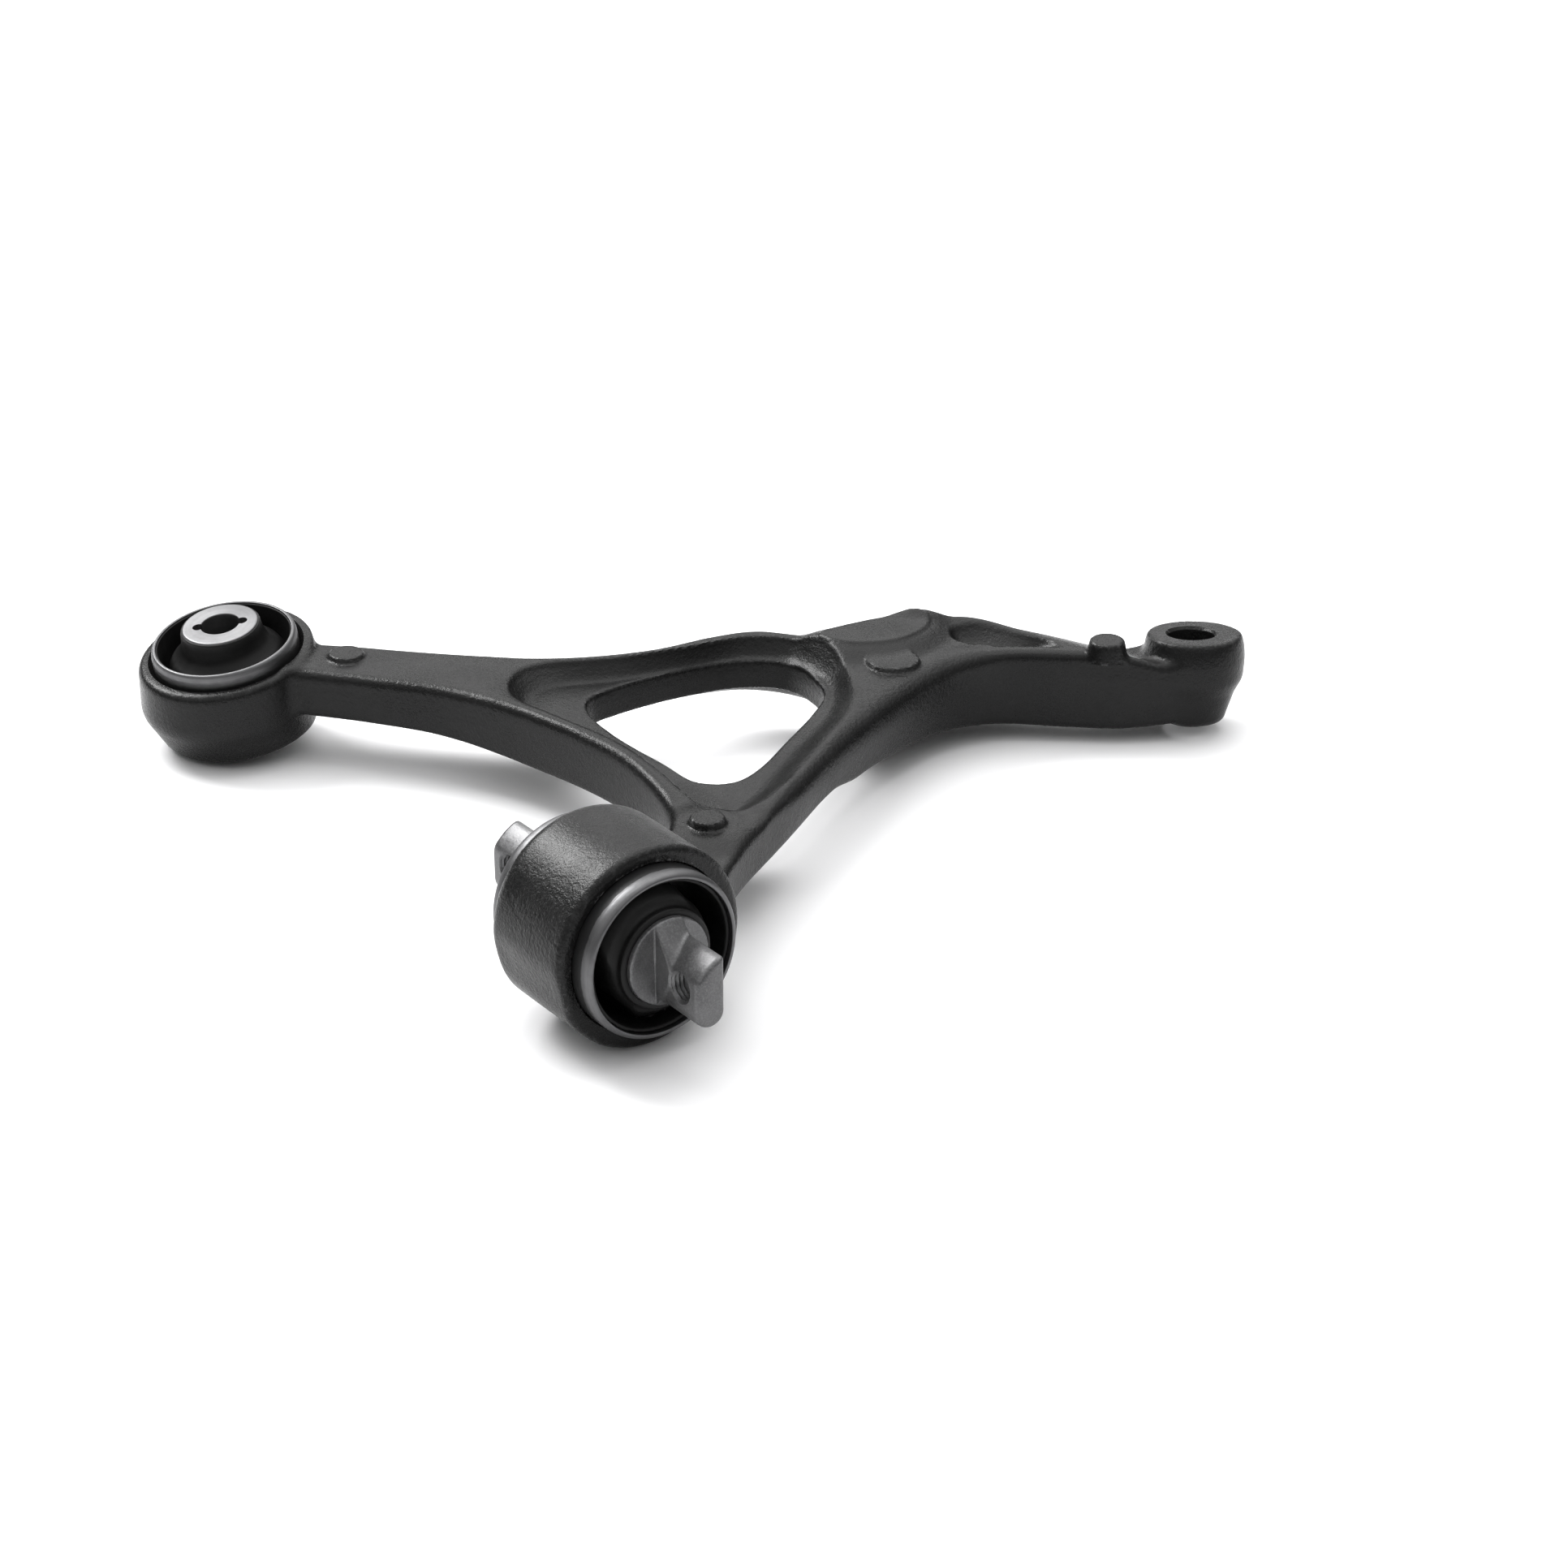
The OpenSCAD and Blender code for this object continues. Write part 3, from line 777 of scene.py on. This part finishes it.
def give(obj, material):
    obj.data.materials.clear()
    obj.data.materials.append(material)


# ---------------------------------------------------------------- the casting
def front_bore_tool():
    """The front housing's bore, with a small chamfer at both mouths."""
    wide, bottom, top = FRONT_SLEEVE_R + FRONT_MOUTH, FRONT_MOUTH, FRONT_HOUSING_LEN - FRONT_MOUTH
    return revolve("front_bore_tool", [
        (0, -30), (FRONT_SLEEVE_R + 26, -30), (wide, 0), (wide, 0.01), (FRONT_SLEEVE_R, bottom),
        (FRONT_SLEEVE_R, top), (wide, FRONT_HOUSING_LEN), (FRONT_SLEEVE_R + 26, FRONT_HOUSING_LEN + 30),
        (0, FRONT_HOUSING_LEN + 30),
    ], along_pin(FRONT_BACK_X, SAG))


def rear_bore_tool():
    """The rear housing's bore, with a lead-in at both mouths."""
    fit, low, high = REAR_SLEEVE_R + 0.02, REAR_HOUSING_BOTTOM, REAR_HOUSING_TOP
    return revolve("rear_bore_tool", rounded([
        (0, low - 12), (REAR_SLEEVE_R + 1.0, low - 12), (REAR_SLEEVE_R + 1.0, low + 0.2), (fit, low + 1.2),
        (fit, high - 2.2), (REAR_SLEEVE_R + 2.2, high + 0.05), (REAR_SLEEVE_R + 2.2, high + 12),
        (0, high + 12),
    ], 0.3, 2), placed(REAR))


def ball_bore_tool():
    """The ball boss's bore, with a chamfer at both mouths."""
    return revolve("ball_bore_tool", rounded([
        (0, -BALL_DEPTH - 8), (BALL_BORE_R + 2.2, -BALL_DEPTH - 8), (BALL_BORE_R + 2.2, -BALL_DEPTH - 1),
        (BALL_BORE_R, -BALL_DEPTH + 1.2), (BALL_BORE_R, -1.2), (BALL_BORE_R + 1.3, 0.1),
        (BALL_BORE_R + 1.3, 6), (0, 6),
    ], 0.25, 2), placed(BALL, (*BALL_BORE_AT, 0)), 128)


def make_casting():
    arm = mesh_of_field("arm_casting_skin", casting, (-334, -46, -44), (42, 372, 48), 1.15)
    thin_out(arm, 190_000)
    cut(arm, front_bore_tool(), rear_bore_tool(), ball_bore_tool())
    shade(arm, 34)
    give(arm, paint_material())
    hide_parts("arm_casting")
    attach(arm, "arm")


# ---------------------------------------------------------------- front bush
def sleeve_profile(inner, outer, low, high):
    """A drawn sleeve whose outer wall curls in to a thin lip at both ends."""
    lip = inner + 1.2
    return rounded([
        (inner, low), (lip, low), (outer - 0.45, low + 0.9), (outer, low + 2.6),
        (outer, high - 2.6), (outer - 0.45, high - 0.9), (lip, high), (inner, high),
    ], 0.8, 5)


def make_front_sleeve():
    profile = sleeve_profile(FRONT_SLEEVE_IN_R, FRONT_SLEEVE_R, 0, FRONT_SLEEVE_LEN)
    front_sleeve = revolve("front_sleeve", profile, along_pin(FRONT_BUSH_X - FRONT_SLEEVE_LEN / 2, SAG))
    shade(front_sleeve, 40)
    give(front_sleeve, turned_metal(
        "sleeve_steel_front", (0.19, 0.19, 0.193), 0.44, (0, 0, SAG), (1, 0, 0), dark_band=DARK_SLEEVE_BAND))
    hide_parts("front_bush_outer_sleeve")
    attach(front_sleeve, "arm")


def make_front_rubber(rubber):
    liner = mesh_of_field("front_rubber_body", front_rubber, (-30, -32, -30), (42, 32, 34), 0.75)
    thin_out(liner, 60_000)
    shade(liner, 50)
    give(liner, rubber)
    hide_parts("front_bush_rubber")
    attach(liner, "arm")


def bolt_hole_tools(side):
    """Tools for the threaded hole in one of the pin's ends, and for the countersink at each of its mouths."""
    at = Matrix.Translation((side * BOLT_PITCH / 2 * MM, 0, 0)) @ Matrix.Rotation(math.pi / 2, 4, "X")
    half, wide, narrow = BAR_T / 2, BOLT_R + 0.7, BOLT_R - 0.7
    upper = [(0, half - 1.3), (narrow, half - 1.3), (wide, half + 0.02), (wide, half + 5), (0, half + 5)]
    lower = [(0, -half - 5), (wide, -half - 5), (wide, -half - 0.02), (narrow, -half + 1.3), (0, -half + 1.3)]
    return (
        threaded_plug("thread_tool", at, BOLT_R + 0.1, BAR_T + 4, THREAD_PITCH, THREAD_DEPTH),
        revolve("countersink_tool", upper, at, 96),
        revolve("countersink_tool", lower, at, 96),
    )


def make_bar_pin():
    pin = mesh_of_field("front_bar_pin", bar_pin, (-70, -19, -19), (70, 19, 19), 0.7)
    cut(pin, *bolt_hole_tools(-1), *bolt_hole_tools(1))
    thin_out(pin, 110_000)
    shade(pin, 36)
    give(pin, forged_material())
    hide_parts("front_bush_bar_pin")
    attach(pin, "front_pin")


# ---------------------------------------------------------------- rear bush
def make_rear_sleeve():
    profile = sleeve_profile(REAR_SLEEVE_IN_R, REAR_SLEEVE_R, REAR_SLEEVE_BOTTOM, REAR_SLEEVE_TOP)
    rear_sleeve = revolve("rear_sleeve", profile, placed(REAR))
    shade(rear_sleeve, 40)
    give(rear_sleeve, turned_metal("sleeve_steel_rear", (0.20, 0.20, 0.203), 0.46, REAR_C, REAR_AXIS))
    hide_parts("rear_bush_outer_sleeve")
    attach(rear_sleeve, "arm")


def rear_liner_profile():
    """The rubber that lines the sleeve, hollowed to a groove round the core at both ends."""
    r, up, down = REAR_RUBBER_R, REAR_SLEEVE_TOP, REAR_SLEEVE_BOTTOM
    return rounded([
        (CORE_R + 3, 3), (r - 4.6, 4.2), (r - 2.6, 5.2), (r - 1.7, 8), (r - 1.1, 13), (r - 0.6, up - 0.9),
        (r, up - 0.5), (r, down + 0.5), (r - 0.6, down + 0.9), (r - 1.1, -16), (r - 1.7, -11),
        (r - 2.6, -8.2), (r - 4.6, -7.2), (CORE_R + 3, -6),
    ], 1.6, 6)


def neck_profile(bulge, tip):
    """The rubber round the core: bulge is its outer side as (distance outside the core, height)."""
    return rounded([
        (CORE_R - 0.3, 0), (CORE_R + 9.3, 0), *((CORE_R + r, h) for r, h in bulge), (CORE_R - 0.3, tip),
    ], 2.0, 5)


def make_rear_rubber(rubber):
    """A liner that stays in the sleeve, and two necks round the core."""
    tip = CORE_LEN / 2
    rear_liner = revolve("rear_rubber_liner", rear_liner_profile(), placed(REAR))
    neck_top = revolve("rear_rubber_neck_top", neck_profile([
        (9.3, 5), (8.8, 8.6), (7.2, 11.4), (4.6, 13.6), (2.4, 16.2), (1.4, 19.4), (1.0, tip - 1.6),
        (0.6, tip - 0.6),
    ], tip - 0.6), placed(REAR))
    neck_bottom = revolve("rear_rubber_neck_bottom", neck_profile([
        (9.3, -8), (8.8, -11.6), (7.2, -14.4), (4.6, -16.6), (2.4, -18.6), (1.4, -20.6), (1.0, 1.6 - tip),
        (0.6, 0.6 - tip),
    ], 0.6 - tip), placed(REAR))
    for part in (rear_liner, neck_top, neck_bottom):
        shade(part, 45)
        give(part, rubber)
    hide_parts("rear_bush_rubber")
    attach(rear_liner, "arm")
    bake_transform(neck_top)
    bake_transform(neck_bottom)


def core_bore_tool():
    """The core's bore, with a small chamfer at both mouths."""
    wide, half = CORE_BORE_R + 0.3, CORE_LEN / 2
    return revolve("core_bore_tool", rounded([
        (0, -40), (wide, -40), (wide, -half - 0.05), (CORE_BORE_R, -half + 0.3),
        (CORE_BORE_R, half - 0.3), (wide, half + 0.05), (wide, 40), (0, 40),
    ], 0.1, 2), placed(REAR), 128)


def notch_tool(side):
    """One of the two half-round notches beside the bore's upper mouth."""
    a, off, top = math.radians(NOTCH_DEG), side * (CORE_BORE_R + 1.1), CORE_LEN / 2
    return revolve("notch_tool", [
        (0, top - NOTCH_DEPTH), (NOTCH_R, top - NOTCH_DEPTH), (NOTCH_R, top + 3), (0, top + 3),
    ], placed(REAR, (off * math.cos(a), off * math.sin(a), 0)), 48)


def make_rear_core():
    half = CORE_LEN / 2
    profile = rounded([(0, -half), (CORE_R, -half), (CORE_R, half), (0, half)], 0.8)
    core = revolve("rear_core", profile, placed(REAR))
    cut(core, core_bore_tool(), notch_tool(-1), notch_tool(1))
    shade(core, 35)
    give(core, turned_metal("core_aluminium", (0.27, 0.27, 0.274), 0.46, REAR_C, REAR_AXIS, depth=0.00003))
    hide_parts("rear_bush_core")
    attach(core, "rear_core")


# ---------------------------------------------------------------- floor, light, camera
def floor():
    """A plain pale floor."""
    bm = bmesh.new()
    bmesh.ops.create_grid(bm, x_segments=2, y_segments=2, size=9)
    bm.transform(Matrix.Translation((-0.15, 0.15, FLOOR_Z * MM)))
    mesh = bpy.data.meshes.new("studio_floor")
    bm.to_mesh(mesh)
    bm.free()
    obj = new_object("studio_floor", mesh)
    n = Nodes("floor_white")
    n.set(colour=(0.92, 0.92, 0.925), rough=n.ramp(n.noise(12, 3), 0.3, 0.7, 0.78, 0.85), specular=0.2)
    give(obj, n.mat)


def area_light(name, at, size, radiance, size_y=None):
    """A soft panel of the given brightness and size in metres, turned to face the arm's middle."""
    light = bpy.data.lights.new(name, "AREA")
    light.shape, light.size, light.size_y = "RECTANGLE", size, size_y or size
    light.energy = radiance * math.pi * light.size * light.size_y
    obj = new_object(name, light)
    obj.location = at
    obj.rotation_euler = (Vector(LIT_POINT) - Vector(at)).to_track_quat("-Z", "Y").to_euler()


def sky():
    """A light tent: bright above and dim at the sides."""
    world = bpy.data.worlds.new("studio_world")
    bpy.context.scene.world = world
    world.use_nodes = True
    tree = world.node_tree
    direction = tree.nodes.new("ShaderNodeTexCoord").outputs["Generated"]
    parts = tree.nodes.new("ShaderNodeSeparateXYZ")
    tree.links.new(direction, parts.inputs[0])
    fade = tree.nodes.new("ShaderNodeMapRange")
    fade.interpolation_type = "SMOOTHSTEP"
    for key, value in (("From Min", 0.05), ("From Max", 0.75), ("To Min", 0.1), ("To Max", 1.3)):
        fade.inputs[key].default_value = value
    tree.links.new(parts.outputs["Z"], fade.inputs["Value"])
    back = tree.nodes["Background"]
    back.inputs["Color"].default_value = (1, 1, 1, 1)
    tree.links.new(fade.outputs[0], back.inputs["Strength"])


def studio():
    """The tent, with a soft box beside the arm, a big panel overhead and one behind."""
    sky()
    bpy.context.scene.view_settings.view_transform = "Standard"
    bpy.context.scene.view_settings.gamma = VIEW_GAMMA
    area_light("key_softbox", (-1.5, -0.35, 1.35), 0.85, 14.0)
    area_light("overhead_soft", (-0.4, 0.6, 1.9), 2.0, 1.5)
    area_light("back_panel", (-1.8, 1.3, 0.95), 1.9, 1.4, 0.9)


def camera():
    """The photograph's view: looking down 26 degrees from the front and inboard side."""
    az, el = math.radians(CAMERA_AZ), math.radians(CAMERA_EL)
    forward = Vector((-math.sin(az) * math.cos(el), math.cos(az) * math.cos(el), -math.sin(el)))
    right = Vector((math.cos(az), math.sin(az), 0))
    up = right.cross(forward)
    data = bpy.data.cameras.new("photo_camera")
    data.sensor_width, data.lens = 36, LENS_MM
    data.clip_start, data.clip_end = 0.05, 60
    obj = new_object("photo_camera", data)
    turn = Matrix((right, up, -forward)).transposed().to_4x4()
    obj.matrix_world = Matrix.Translation(CAMERA_AT) @ turn
    bpy.context.scene.camera = obj


# ---------------------------------------------------------------- the scene
bush_rubber = rubber_material()
make_casting()
make_front_sleeve()
make_front_rubber(bush_rubber)
make_bar_pin()
make_rear_sleeve()
make_rear_rubber(bush_rubber)
make_rear_core()
floor()
studio()
camera()
